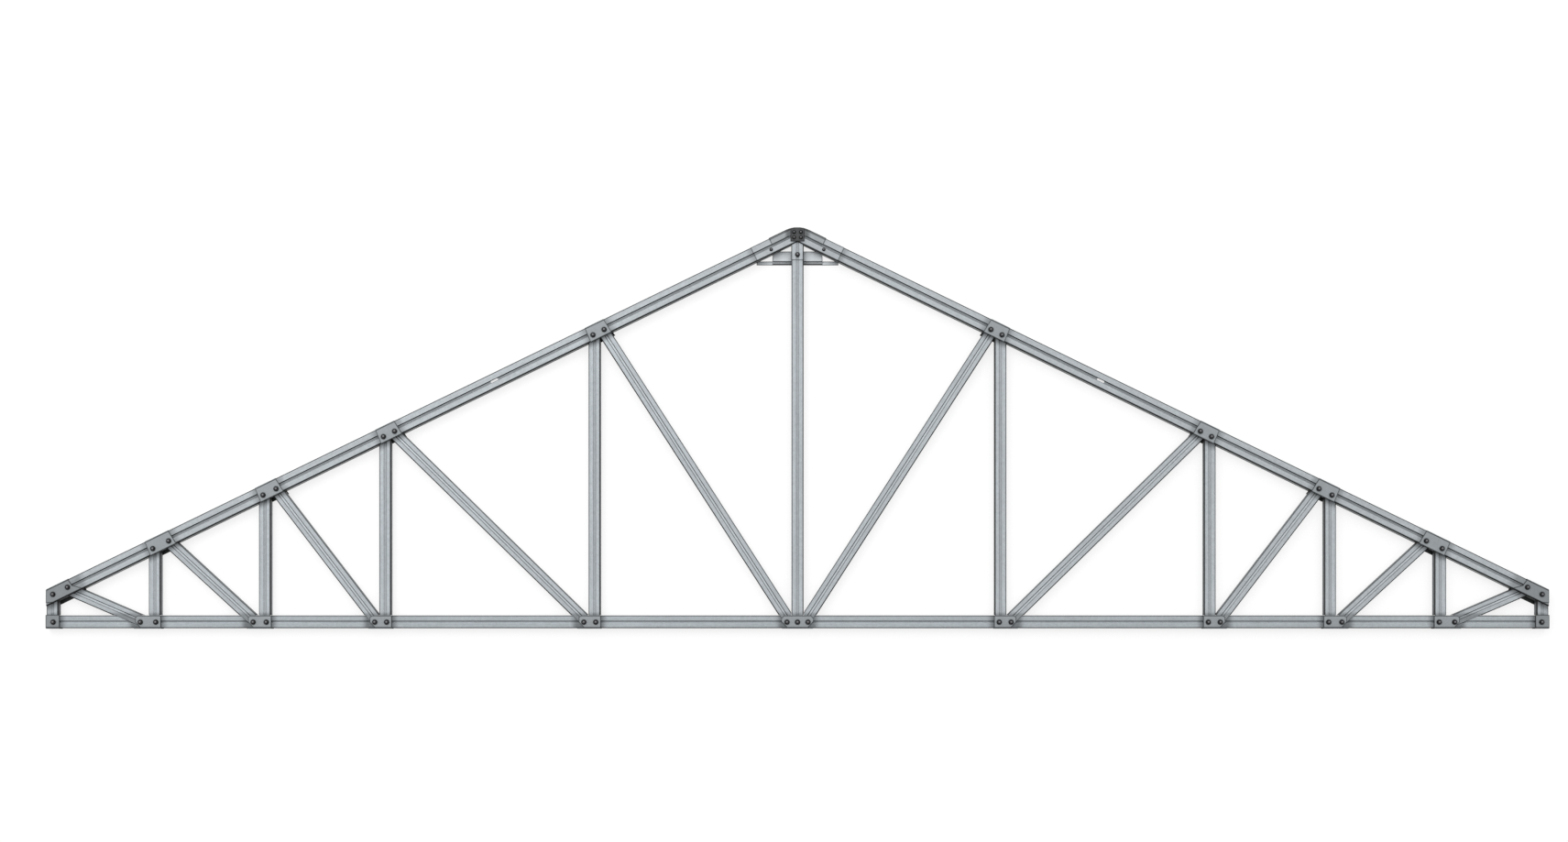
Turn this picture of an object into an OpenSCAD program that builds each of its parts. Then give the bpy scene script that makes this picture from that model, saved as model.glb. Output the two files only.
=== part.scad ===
// Light gauge steel roof truss, bolted together, lying on its back.
// X runs along the span, Y from the bottom chord up to the ridge and Z from
// the floor up to the front face. The origin is on the floor, under the
// middle of the truss's outline. Lengths are in millimetres.
// The right half is drawn, and the left half is its mirror image.

/* [Overall shape] */
// Length of the truss over its two heels
span = 9600; // [9400:20:9800]
// Height of the top chord's outer edge at the heel
heel_height = 246; // [240:2:264]
// Slope of the top chords, in degrees
pitch = 25.9; // [25:0.05:27]
// Radius of the rounded ridge
ridge_radius = 170; // [120:5:190]

/* [Panel points] */
// Distance of post 1, next to the heel, from the end of the truss
post_1_in = 692; // [650:2:740]
// Distance of post 2 from the end of the truss
post_2_in = 1396; // [1340:4:1460]
// Distance of post 3 from the end of the truss
post_3_in = 2165; // [2100:5:2240]
// Distance of post 4, next to the king post, from the end of the truss
post_4_in = 3503; // [3403:5:3603]
// Heel diagonal's centre line at the top chord, measured inward from the heel post's
heel_top_offset = 88; // [84:2:96]
// Diagonals' centre lines at the top chord, inward from their posts' centre lines
top_offset = [74, 60, 39, 45]; // [36:1:84]
// Diagonals' centre lines at the bottom chord, outward from the next post's
foot_offset = [70, 61, 52, 51]; // [46:1:76]
// Last diagonals' centre lines at the bottom chord, from the king post's
centre_offset = 47; // [42:1:52]

/* [Channels] */
// Depth of the top chord, seen from the front
top_chord_depth = 96; // [94:1:102]
// Flange width of the top chord, from front to back
top_chord_flange = 56; // [52:1:62]
// Depth of the bottom chord
bottom_chord_depth = 82; // [78:1:90]
// Face width of the posts and diagonals
web_width = 77; // [70:1:80]
// Flange width of the posts and diagonals
web_flange = 40; // [34:1:43]
// Width of the return lips along the open side
lip = 12; // [8:1:16]
// Sheet thickness of every channel
sheet = 1.2; // [0.8:0.1:1.6]
// Outer radius of the folds
fold_radius = 5; // [3.5:0.5:6]
// Width of the rib rolled into the middle of every other channel's face
rib_width = 21; // [18:1:26]
// Width of the narrower rib in the bottom chord's face
bottom_rib_width = 14; // [13:0.5:20]
// Depth of the ribs
rib_depth = 4; // [3:0.25:4.5]
// Width of each sloping side of a rib
rib_slope = 5; // [3:0.5:6]
// Length of the slot punched in each top chord's rib
slot_length = 52; // [30:2:70]
// Width of that slot
slot_width = 13; // [8:1:13]
// Distance of that slot from the end of the truss
slot_in = 2863; // [2703:10:3003]

/* [Brackets] */
// Plate thickness of the brackets
plate = 3; // [2:0.5:4]
// Outer radius of the brackets' folds
plate_fold = 8; // [5.5:0.5:8]
// Margin of a top bracket past its post bolt, along the outer edge
post_margin = 28; // [22:2:40]
// Margin of a top bracket past its diagonal bolt, along the outer edge
diagonal_margin = 27; // [22:1:36]
// Extra length of a top bracket's lower edge at each end
bracket_flare = 9; // [4:1:14]
// Extra length of a top bracket's back leg at its upper end
back_flare = 27; // [12:1:32]
// Margin of a bottom bracket past its bolts, along the chord
foot_margin = 32; // [26:1:40]
// Drop of a bracket's back leg below the top chord
back_leg_drop = 20; // [10:1:24]
// Longer side of the clipped upper corner of a bottom bracket
corner_clip = 14; // [6:1:20]
// Shorter side of that clipped corner
corner_nip = 10; // [4:1:16]
// Reach of a bottom bracket's folded edge past its face
foot_toe = 11; // [4:1:16]
// Height of that edge above the bottom chord's lower edge
foot_upstand = 5; // [2:1:8]
// Width of the heel's bottom bracket
heel_bracket_width = 88; // [82:1:96]
// Overhang of the heel's bottom bracket past the end of the truss
heel_overhang = 4; // [1:1:8]
// Length of the heel's top bracket over the chord's outer edge, measured level
heel_cap_length = 134; // [120:2:150]
// Points of its lower edge, measured inward from the end of the truss
heel_edge_in = [0, 41, 232]; // [0:1:240]
// Height of those points above the chord's lower edge
heel_edge_rise = [20, 5, 5]; // [1:1:24]
// Waist of its inner side, measured inward from the end of the truss
heel_waist_in = 167; // [150:1:180]
// Length of its back leg, measured level
heel_back_length = 250; // [236:1:260]

/* [Bolts] */
// Diameter of the bolts
bolt_d = 16; // [12:1:18]
// Diameter of the flange under a bolt head or nut
bolt_flange_d = 31; // [28:1:34]
// Size of the hexagon across its flats
bolt_hex = 24; // [20:1:26]
// Height of the hexagon of a bolt head
bolt_head = 8; // [6:0.5:10]
// Height of a nut
nut_height = 12; // [10:0.5:14]
// Diameter of the small bolts in the ridge plate
small_bolt_d = 10; // [8:1:12]
// Diameter of the flange of a small bolt
small_flange_d = 22; // [19:1:24]
// Size of a small bolt's hexagon across its flats
small_hex = 16; // [13:1:18]
// Height of a small bolt's hexagon
small_head = 5; // [4:0.5:7]
// Height of a small nut
small_nut_height = 8; // [6:0.5:9]
// Thickness of the flange under every head and nut
bolt_flange = 2.5; // [1.5:0.25:3]
// Length of thread that stands past a nut
thread_past = 2; // [1:0.5:3]
// Depth of the top brackets' bolts below the top chord's outer edge
top_bolt_depth = 62; // [54:1:66]
// Shift of the top brackets' post bolts from their posts, outward
top_bolt_shift = 9; // [0:1:14]
// Depth of the heel's upper bolts below the top chord's outer edge
heel_bolt_depth = 46; // [44:1:54]
// Shift of the heel's bolts from the heel post's centre line, inward
heel_bolt_shift = 6; // [0:1:10]
// Height of the bottom brackets' bolts above the bottom chord's lower edge
foot_bolt_height = 39; // [34:1:46]
// Shift of the bottom brackets' first bolts from their posts, towards the middle
foot_bolt_shift = [8, 10, 10, 8]; // [0:1:16]
// Step along the slope from the heel's post bolt to its diagonal bolt
heel_bolt_step = 104; // [96:2:108]
// Horizontal steps from post bolt to diagonal bolt in the top brackets
top_bolt_step = [101, 83, 71, 71]; // [66:1:104]
// Horizontal steps from post bolt to diagonal bolt in the bottom brackets
foot_bolt_step = [99, 84, 76, 76]; // [70:1:104]
// Distance of the centre bracket's outer bolts from its middle bolt
centre_bolt_step = 67; // [60:1:72]

/* [Ridge] */
// Half the length of the ridge cap, measured level
cap_half_length = 182; // [160:2:200]
// Width of the ridge cap's legs
cap_leg = 42; // [34:1:46]
// Sheet thickness of the ridge cap and the collar
cap_sheet = 2; // [1.5:0.25:2.5]
// Half the length of the ridge sleeves, measured level
sleeve_half_length = 300; // [260:5:330]
// Reach of the sleeves over the sides of what they cover
sleeve_reach = 24; // [16:1:32]
// Width of the square ridge plate
ridge_plate_width = 88; // [78:1:94]
// Height of the square ridge plate
ridge_plate_height = 82; // [76:1:86]
// Drop of the ridge plate's middle below the ridge
ridge_plate_drop = 64; // [60:1:70]
// Spacing of the ridge plate's bolts across the truss
ridge_bolt_step = 44; // [38:1:50]
// Spacing of the ridge plate's bolts up the truss
ridge_bolt_rise = 34; // [30:1:40]
// Distance of the ridge sleeve bolts from the middle
sleeve_bolt_at = 168; // [160:2:174]
// Depth of the ridge sleeve bolts below the top chord's outer edge
sleeve_bolt_depth = 68; // [62:1:70]
// Drop of the king sleeve's bolt below the ridge
king_bolt_drop = 188; // [180:1:196]
// Length of the king sleeve below that bolt
king_sleeve_margin = 36; // [28:1:44]
// Drop of the collar's lower edge below the ridge
collar_drop = 224; // [214:2:238]
// Height of the collar's face
collar_height = 64; // [56:2:76]
// Half the length of the collar's face
collar_half_length = 160; // [152:2:170]
// Width of the collar's lower lip
collar_lip = 22; // [14:1:26]
// Length of the ears at the ends of the collar, measured level
ear_length = 72; // [64:2:80]
// Reach of the ears past the ends of the collar's face
ear_reach = 28; // [22:1:32]
// Width of the ears, square to the slope
ear_width = 46; // [38:1:48]
// Half the length of the tie bar
tie_half_length = 262; // [240:2:280]
// Height of the tie bar
tie_height = 24; // [18:1:30]

/* [Clearances] */
// Air between two faces that are bolted together
seat = 0.1; // [0.05:0.05:0.2]
// Air between a web member's sides and what it passes through or stops at
web_gap = 2; // [1:0.5:3]
// Distance of the members' ends from the inside of the chord's far flange
end_gap = 8; // [6:1:14]
// Air round the bolts in their holes
hole_gap = 0.5; // [0.25:0.25:1]
// Air round the nuts' flanges in the brackets' back legs, for a socket
socket_gap = 2; // [1:0.5:3]

/* [Hidden] */
half_span = span / 2;
apex_y = heel_height + half_span * tan(pitch);
posts = [for (d = [post_1_in, post_2_in, post_3_in, post_4_in]) half_span - d];
heel_post_at = half_span - web_width / 2;
// Heights of the planes, from the floor up
floor_gap = seat + plate;
top_face = floor_gap + top_chord_flange;
web_face = top_face - sheet - rib_depth - 3 * seat;
bottom_face = web_face - sheet - seat;
bottom_chord_flange = bottom_face - floor_gap;
sleeve_face = top_face + seat + sheet;
top_nut_seat = web_face - sheet - rib_depth - seat;
foot_nut_seat = bottom_face - sheet - rib_depth - seat;
// Middle of the rounded ridge
ridge_middle = apex_y - ridge_radius / cos(pitch);
// Top of the ridge cap and the foot of the brackets, which bound the outline
outline_top = ridge_middle + ridge_radius + sheet + 2 * seat + cap_sheet;
outline_low = -seat - plate;
plate_seat = sleeve_face + 2 * seat + cap_sheet;
collar_face = web_face - web_flange - seat;
collar_y = apex_y - collar_drop;
// Distance by which cuts run past what they cut, and depth of cuts right through
past = 40;
deep = 200;
fold_steps = 4;
arc_steps = 16;

steel = "#b4bcc0";
bracket_steel = "#969b9e";
dark_steel = "#2e2e30";

sides = ["left", "right"];
panels = [1, 2, 3, 4];
function both(name) = [for (s = sides) str(name, "_", s)];
function numbered(name) = [for (s = sides) for (n = panels) str(name, "_", n, "_", s)];
NODES = concat(
    ["bottom_chord"], both("top_chord"), ["king_post"], both("heel_post"), numbered("post"),
    both("heel_diagonal"), numbered("diagonal"),
    both("heel_top_bracket"), numbered("top_bracket"),
    both("heel_bottom_bracket"), numbered("bottom_bracket"), ["centre_bracket"],
    ["ridge_cap"], both("ridge_sleeve"), ["king_sleeve", "ridge_plate", "collar", "tie_bar"],
    both("bolts"), ["bolts_middle"], both("nuts"), ["nuts_middle"]);
node = "all";

// ---- Folded sheet -------------------------------------------------------

function unit(v) = v / norm(v);
function left_of(v) = [-v.y, v.x];
function mitre(a, b, c, d) =
    let (m = left_of(unit(b - a)), n = left_of(unit(c - b)))
    b + d * (m + n) / (1 + m * n);
function beside(p, d) = [
    for (i = [0 : len(p) - 1])
        i == 0 ? p[0] + d * left_of(unit(p[1] - p[0]))
        : i == len(p) - 1 ? p[i] + d * left_of(unit(p[i] - p[i - 1]))
        : mitre(p[i - 1], p[i], p[i + 1], d)
];
function reversed(p) = [for (i = [len(p) - 1 : -1 : 0]) p[i]];
// Outline of a sheet t thick that follows the path p along its middle
function folded(p, t) = concat(beside(p, t / 2), reversed(beside(p, -t / 2)));
function bend(middle, r, from, to) = [
    for (i = [0 : fold_steps])
        let (a = from + (to - from) * i / fold_steps)
        middle + r * [cos(a), sin(a)]
];
// Middle line of a lipped channel: its face is at the top, its lips at the bottom
function channel_path(width, flange, rib_width) =
    let (
        w = width / 2, r = fold_radius, m = r - sheet / 2,
        back = -flange + sheet / 2, front = -sheet / 2, floor_z = front - rib_depth,
        rib = rib_width / 2
    )
    concat(
        [[-w + lip, back]],
        bend([-w + r, -flange + r], m, 270, 180),
        bend([-w + r, -r], m, 180, 90),
        [[-rib, front], [-rib + rib_slope, floor_z], [rib - rib_slope, floor_z], [rib, front]],
        bend([w - r, -r], m, 90, 0),
        bend([w - r, -flange + r], m, 0, -90),
        [[w - lip, back]]
    );
// Middle line of a cover that nests over a channel's face and the front of its flanges
function cover_path(width, reach) =
    let (
        w = width / 2, r = fold_radius, m = r - sheet / 2, front = -sheet / 2,
        floor_z = front - rib_depth, rib = rib_width / 2
    )
    beside(
        concat(
            [[-w + sheet / 2, -reach]],
            bend([-w + r, -r], m, 180, 90),
            [[-rib, front], [-rib + rib_slope, floor_z], [rib - rib_slope, floor_z], [rib, front]],
            bend([w - r, -r], m, 90, 0),
            [[w - sheet / 2, -reach]]
        ),
        sheet + seat
    );

// Extrudes a section along the plan line from one point to another, face at height z
module along(from, to, z) {
    run = to - from;
    translate([from.x, from.y, z])
        rotate([0, 0, atan2(run.y, run.x)])
            rotate([90, 0, 90]) linear_extrude(norm(run)) children();
}
module channel(from, to, z, width, flange, rib = rib_width) {
    along(from, to, z) polygon(folded(channel_path(width, flange, rib), sheet));
}
// Plan outline taken right through the truss's thickness
module through(points) {
    translate([0, 0, -past]) linear_extrude(deep) polygon(points);
}
module on_side(side) {
    if (side == "left") mirror([1, 0, 0]) children();
    else children();
}
module post_hole(at, d) {
    translate([at.x, at.y, -past]) cylinder(d = d, h = deep, $fn = 32);
}

// ---- Setting out, on the right half --------------------------------------

// Height of the top chord's outer edge at a distance x from the middle
function top_y(x) = apex_y - x * tan(pitch);
// Point d below the outer edge, square to the slope, from the edge point at x
function under(x, d) = [x - d * sin(pitch), top_y(x) - d * cos(pitch)];
// Point d below the outer edge that lies at a distance x from the middle
function below(x, d) = [x, top_y(x) - d / cos(pitch)];
up_slope = [-cos(pitch), sin(pitch)];

function diagonal_top(n) = below(
    n == 0 ? heel_post_at - heel_top_offset : posts[n - 1] - top_offset[n - 1],
    top_chord_depth / 2);
function diagonal_foot(n) = [
    n == 4 ? centre_offset : posts[n] + foot_offset[n], bottom_chord_depth / 2];
// Posts beside a diagonal: the one it starts from and the one it lands at
function start_post(n) = n == 0 ? heel_post_at : posts[n - 1];
function end_post(n) = n == 4 ? 0 : posts[n];

function foot_post_bolt(n) = [posts[n - 1] - foot_bolt_shift[n - 1], foot_bolt_height];
function foot_diagonal_bolt(n) = foot_post_bolt(n) + [foot_bolt_step[n - 1], 0];
function top_post_bolt(n) = below(posts[n - 1] + top_bolt_shift, top_bolt_depth);
function top_diagonal_bolt(n) = below(top_post_bolt(n).x - top_bolt_step[n - 1], top_bolt_depth);
heel_post_bolt = below(heel_post_at - heel_bolt_shift, heel_bolt_depth);
heel_diagonal_bolt = heel_post_bolt + heel_bolt_step * up_slope;
heel_foot_bolt = [heel_post_at - heel_bolt_shift, foot_bolt_height];
king_sleeve_bolt = [0, apex_y - king_bolt_drop];
sleeve_bolt = below(sleeve_bolt_at, sleeve_bolt_depth);
function ridge_bolt(i, j) =
    [i * ridge_bolt_step / 2, apex_y - ridge_plate_drop + j * ridge_bolt_rise / 2];

top_bolts = concat(
    [heel_post_bolt, heel_diagonal_bolt],
    [for (n = panels) top_post_bolt(n)], [for (n = panels) top_diagonal_bolt(n)]);
foot_bolts = concat(
    [heel_foot_bolt],
    [for (n = panels) foot_post_bolt(n)], [for (n = panels) foot_diagonal_bolt(n)]);
centre_bolts = [for (i = [-1 : 1]) [i * centre_bolt_step, foot_bolt_height]];
ridge_bolts = [for (i = [-1, 1]) for (j = [-1, 1]) ridge_bolt(i, j)];

module holes(places, d = bolt_d) {
    for (at = places) post_hole(at, d + 2 * hole_gap);
}

// ---- Chords ---------------------------------------------------------------

module bottom_chord() {
    color(steel) difference() {
        channel([-half_span, bottom_chord_depth / 2], [half_span, bottom_chord_depth / 2],
                bottom_face, bottom_chord_depth, bottom_chord_flange, bottom_rib_width);
        holes(concat(foot_bolts, centre_bolts));
        mirror([1, 0, 0]) holes(foot_bolts);
    }
}

// Space that a post or diagonal takes in plan, widened by a gap on each side
module web_space(from, to, gap) {
    run = unit(to - from);
    side = left_of(run) * (web_width / 2 + gap);
    a = from - past * run;
    b = to + past * run;
    through([a - side, b - side, b + side, a + side]);
}
// Notches in the chord's lower flange and lip for what enters it
module web_notches() {
    intersection() {
        translate([0, 0, -past]) linear_extrude(past + web_face + sheet + 3 * seat)
            polygon([below(half_span + past, top_chord_depth - lip - sheet),
                     below(-past, top_chord_depth - lip - sheet),
                     below(-past, top_chord_depth + past),
                     below(half_span + past, top_chord_depth + past)]);
        union() {
            for (x = concat([heel_post_at, 0], posts)) web_space([x, 0], [x, top_y(x)], web_gap);
            for (n = [0 : 4]) web_space(diagonal_foot(n), diagonal_top(n), web_gap);
            collar_space(web_gap);
        }
    }
}
// Everything past the plumb joint between the two top chords
module beyond_middle() {
    translate([web_gap / 2 - deep, 0, -past]) cube([deep, apex_y + deep, deep]);
}
// Waste outside the rounded ridge
module ridge_waste(r) {
    half = r * sin(pitch);
    difference() {
        translate([-half, ridge_middle + r * cos(pitch), -past]) cube([2 * half, deep, deep]);
        translate([0, ridge_middle, -past]) cylinder(r = r, h = deep, $fn = 96);
    }
}
module slot(at) {
    end = (slot_length - slot_width) / 2;
    translate([at.x, at.y, bottom_face]) rotate([0, 0, -pitch]) {
        for (s = [-1, 1]) translate([s * end, 0, 0]) cylinder(d = slot_width, h = deep, $fn = 24);
        translate([-end, -slot_width / 2, 0]) cube([2 * end, slot_width, deep]);
    }
}
module top_chord(side) {
    color(steel) on_side(side) difference() {
        channel(under(half_span + past, top_chord_depth / 2), under(-past, top_chord_depth / 2),
                top_face, top_chord_depth, top_chord_flange);
        translate([half_span, 0, -past]) cube([deep, apex_y, deep]);
        beyond_middle();
        ridge_waste(ridge_radius);
        web_notches();
        holes(top_bolts);
        holes([sleeve_bolt]);
        holes(ridge_bolts, small_bolt_d);
        slot(below(half_span - slot_in, top_chord_depth / 2));
    }
}

// ---- Posts and diagonals ----------------------------------------------------

// A member with its lower end coped to a flat tongue over the bottom chord
module web_member(from, to) {
    cope = bottom_chord_depth + web_gap;
    run = unit(to - from);
    top = to + 2 * past * run;
    low = from - 2 * past * run;
    intersection() {
        channel(low, top, web_face, web_width, web_flange);
        translate([-half_span, cope, 0]) cube([span, apex_y, deep]);
    }
    intersection() {
        along(low, top, web_face)
            translate([-web_width / 2 + fold_radius, -sheet])
                square([web_width - 2 * fold_radius, sheet]);
        translate([-half_span, end_gap, 0]) cube([span, cope - end_gap + sheet, deep]);
    }
    intersection() {
        along(low, top, web_face)
            translate([-rib_width / 2, -sheet - rib_depth]) square([rib_width, sheet + rib_depth]);
        translate([-half_span, cope, 0]) cube([span, sheet, deep]);
    }
}
// Everything above the members' upper ends, inside the top chord
module above_ends() {
    through([below(half_span + past, end_gap), below(-past, end_gap),
             below(-past, -deep), below(half_span + past, -deep)]);
}
module post_at(x) {
    color(steel) difference() {
        web_member([x, 0], [x, top_y(x)]);
        above_ends();
        if (x == 0) {
            mirror([1, 0, 0]) above_ends();
            ridge_waste(ridge_radius - end_gap);
        }
        holes(concat(top_bolts, foot_bolts, centre_bolts));
        holes(ridge_bolts, small_bolt_d);
        holes([king_sleeve_bolt]);
    }
}
module diagonal_member(n) {
    clear = web_width / 2 + web_gap;
    color(steel) difference() {
        web_member(diagonal_foot(n), diagonal_top(n));
        above_ends();
        translate([start_post(n) - clear, 0, -past]) cube([deep, apex_y, deep]);
        translate([end_post(n) + clear - deep, 0, -past]) cube([deep, apex_y, deep]);
        holes(concat(top_bolts, foot_bolts, centre_bolts));
    }
}

// ---- Brackets ----------------------------------------------------------------

// Middle line of a saddle folded round a chord's edge at u = 0, its legs towards +u
function saddle_path(front_leg, back_leg, front, back) =
    let (g = -seat - plate / 2, r = plate_fold - plate / 2, top = front + plate / 2,
         low = back - plate / 2)
    concat(
        [[front_leg, top]],
        bend([g + r, top - r], r, 90, 180),
        bend([g + r, low + r], r, 180, 270),
        [[back_leg, low]]
    );

// Saddle over a straight edge from a to b, inside one plan outline
module saddle(a, b, front_leg, back_leg, front, outline) {
    intersection() {
        along(a, b, 0) polygon(folded(saddle_path(front_leg, back_leg, front, plate), plate));
        through(outline);
    }
}
// Waste taken off a bracket's front leg alone
module front_waste(points) {
    translate([0, 0, web_face - web_flange / 2]) linear_extrude(deep) polygon(points);
}
// Holes that let a socket reach the nuts through a bracket's back leg
module socket_holes(places) {
    for (at = places)
        translate([at.x, at.y, -past]) cylinder(d = bolt_flange_d + 2 * socket_gap, h = past + 2 * plate, $fn = 32);
}
// Bracket over the top chord; its children are cut away
module slope_saddle(outline, bolts) {
    color(bracket_steel) difference() {
        saddle(under(half_span + 2 * past, 0), under(0, 0),
               top_chord_depth, top_chord_depth + back_leg_drop, top_face + seat, outline);
        holes(bolts);
        socket_holes(bolts);
        children();
    }
}
// Point a step up the slope from a bolt, at a depth d below the outer edge
function from_bolt(bolt, step, d) =
    [bolt.x, bolt.y] + step * up_slope
    + (d - (top_y(bolt.x) - bolt.y) * cos(pitch)) * left_of(up_slope);
// Strip on the uphill side of the line from a to b
function uphill(a, b) =
    let (run = past * unit(b - a))
    [a, b + run, b + run - left_of(run), a - left_of(run)];
over = 3 * plate;

module top_bracket(n) {
    a = top_post_bolt(n);
    b = top_diagonal_bolt(n);
    low = top_chord_depth + back_leg_drop + past;
    corner = from_bolt(b, diagonal_margin, bracket_flare);
    slope_saddle(
        [corner, from_bolt(b, diagonal_margin - bracket_flare / 2, -over),
         from_bolt(a, -post_margin, -over), from_bolt(a, -post_margin - bracket_flare, low),
         from_bolt(b, diagonal_margin + back_flare, low)],
        [a, b])
        front_waste(uphill(corner, from_bolt(b, diagonal_margin + bracket_flare, top_chord_depth)));
}
module heel_top_bracket() {
    low = top_chord_depth + back_leg_drop + past;
    function edge(i) = below(half_span - heel_edge_in[i], top_chord_depth - heel_edge_rise[i]);
    slope_saddle(
        [below(half_span - heel_cap_length, -over), below(half_span, -over),
         below(half_span, low), below(half_span - heel_back_length, low),
         edge(2), below(half_span - heel_waist_in, top_chord_depth / 2)],
        [heel_post_bolt, heel_diagonal_bolt])
        front_waste(
            [edge(0) + [past, 0], edge(0), edge(1), edge(2), edge(2) - [past, 0],
             below(half_span - heel_back_length - past, low), below(half_span + past, low)]);
}
// Bracket over the bottom chord; its children are cut away
module foot_saddle(from_x, to_x, bolts) {
    reach = past + foot_margin;
    high = bottom_chord_depth + past;
    color(bracket_steel) difference() {
        saddle([from_x - reach, 0], [to_x + reach, 0], bottom_chord_depth + plate,
               bottom_chord_depth, web_face + seat,
               [[from_x, -over], [to_x, -over], [to_x, high], [from_x, high]]);
        holes(bolts);
        socket_holes(bolts);
        children();
    }
}
// Waste round a bottom bracket's clipped corners at the bolt's right and above it
function foot_waste(bolt, from_x, nip, clip) =
    let (side = bolt.x + foot_margin, top = bottom_chord_depth - web_gap)
    [[bolt.x, foot_upstand], [side, bolt.y], [side, top - nip], [side - clip, top],
     [from_x, top], [from_x, top + past], [side + past, top + past], [side + past, foot_upstand]];

module bottom_bracket(n) {
    a = foot_post_bolt(n);
    b = foot_diagonal_bolt(n);
    from_x = a.x - foot_margin;
    foot_saddle(from_x, b.x + foot_margin + foot_toe, [a, b])
        front_waste(foot_waste(b, from_x - past, corner_nip, corner_clip));
}
module heel_bottom_bracket() {
    to_x = half_span + heel_overhang;
    foot_saddle(to_x - heel_bracket_width, to_x, [heel_foot_bolt]);
}
module centre_bracket() {
    side = centre_bolts[2].x + foot_margin;
    foot_saddle(-side, side, centre_bolts)
        for (s = [0, 1]) mirror([s, 0, 0])
            front_waste(foot_waste(centre_bolts[2], -past, corner_clip, corner_nip));
}

// ---- Ridge ---------------------------------------------------------------------

// Ridge sleeve, a ribbed cover over the upper end of a top chord
module ridge_sleeve(side) {
    color(steel) on_side(side) difference() {
        along(under(sleeve_half_length, top_chord_depth / 2), under(-past, top_chord_depth / 2),
              top_face)
            polygon(folded(cover_path(top_chord_depth, sleeve_reach), sheet));
        beyond_middle();
        ridge_waste(ridge_radius + seat);
        web_notches();
        holes([sleeve_bolt], small_bolt_d);
        holes(ridge_bolts, small_bolt_d);
    }
}
// Line that follows both slopes and the rounded ridge, a distance d outside them
function ridge_line(d, reach = 0) =
    let (end = under(cap_half_length + reach, -d))
    concat(
        [end],
        [for (i = [0 : arc_steps])
            let (a = 90 - pitch + 2 * pitch * i / arc_steps)
            [0, ridge_middle] + (ridge_radius + d) * [cos(a), sin(a)]],
        [[-end.x, end.y]]
    );
module ridge_band(outer, inner, z, thickness, reach = 0) {
    translate([0, 0, z]) linear_extrude(thickness)
        polygon(concat(ridge_line(outer, reach), reversed(ridge_line(inner, reach))));
}
module ridge_cap() {
    inner = sheet + 2 * seat;
    outer = inner + cap_sheet;
    back = floor_gap - seat - cap_sheet;
    front = sleeve_face + seat;
    color(bracket_steel) difference() {
        ridge_band(outer, -cap_leg, back, front + cap_sheet - back);
        ridge_band(inner, -cap_leg - past, back + cap_sheet, front - back - cap_sheet, past);
        holes(ridge_bolts, small_bolt_d);
    }
}
module ridge_plate() {
    low = ridge_bolt(0, 0).y - ridge_plate_height / 2;
    color(bracket_steel) difference() {
        translate([-ridge_plate_width / 2, low, plate_seat])
            cube([ridge_plate_width, ridge_plate_height, plate]);
        holes(ridge_bolts, small_bolt_d);
    }
}
module king_sleeve() {
    color(steel) difference() {
        along([0, king_sleeve_bolt.y - king_sleeve_margin], [0, apex_y - top_chord_depth], web_face)
            polygon(folded(cover_path(web_width, sleeve_reach), sheet));
        holes([king_sleeve_bolt]);
    }
}
// Space in front of and behind the collar's face, as high as the ridge
module collar_space(gap) {
    translate([-collar_half_length - gap, collar_y - past, -past])
        cube([2 * (collar_half_length + gap), past + collar_drop, past + collar_face + gap]);
}
// Ear of the collar, which runs up inside a top chord to its sleeve's bolt
module collar_ear() {
    out = collar_half_length + ear_reach;
    high = sleeve_bolt_depth - ear_width / 2;
    low = sleeve_bolt_depth + ear_width / 2;
    translate([0, 0, collar_face - cap_sheet]) linear_extrude(cap_sheet)
        polygon([below(out - ear_length, low), below(out, low),
                 below(out, high), below(out - ear_length, high)]);
}
// Zed-shaped collar whose ears are bolted inside the chords
module collar() {
    h = collar_half_length;
    step = collar_face - cap_sheet / 2;
    low = floor_gap + seat + cap_sheet / 2;
    color(bracket_steel) difference() {
        union() {
            along([-h, collar_y], [h, collar_y], 0)
                polygon(folded([[collar_height, step], [0, step], [0, low], [-collar_lip, low]],
                               cap_sheet));
            for (s = [0, 1]) mirror([s, 0, 0]) collar_ear();
        }
        holes([sleeve_bolt], small_bolt_d);
        mirror([1, 0, 0]) holes([sleeve_bolt], small_bolt_d);
    }
}
module tie_bar() {
    color(bracket_steel)
        translate([-tie_half_length, collar_y - collar_lip, 0])
            cube([2 * tie_half_length, tie_height, plate]);
}

// ---- Bolts ------------------------------------------------------------------------

// Flanged hexagon bolt seated at height z, with its thread ending below its nut
module bolt(at, z, nut_z, d, flange_d, hex, nut, head) {
    translate([at.x, at.y, z]) {
        cylinder(d = flange_d, h = bolt_flange, $fn = 32);
        rotate([0, 0, 30]) cylinder(d = hex / cos(30), h = bolt_flange + head, $fn = 6);
    }
    end = nut_z - nut - thread_past;
    translate([at.x, at.y, end]) cylinder(d = d, h = z - end + seat, $fn = 32);
}
module big_bolt(at, z, nut_z) {
    bolt(at, z, nut_z, bolt_d, bolt_flange_d, bolt_hex, nut_height, bolt_head);
}
module small_bolt(at, z, nut_z) {
    bolt(at, z, nut_z, small_bolt_d, small_flange_d, small_hex, small_nut_height, small_head);
}
module nut(at, z, d, flange_d, hex, height) {
    translate([at.x, at.y, z - height]) difference() {
        union() {
            rotate([0, 0, 30]) cylinder(d = hex / cos(30), h = height, $fn = 6);
            translate([0, 0, height - bolt_flange]) cylinder(d = flange_d, h = bolt_flange, $fn = 32);
        }
        translate([0, 0, -height]) cylinder(d = d + 2 * seat, h = 3 * height, $fn = 32);
    }
}
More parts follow.
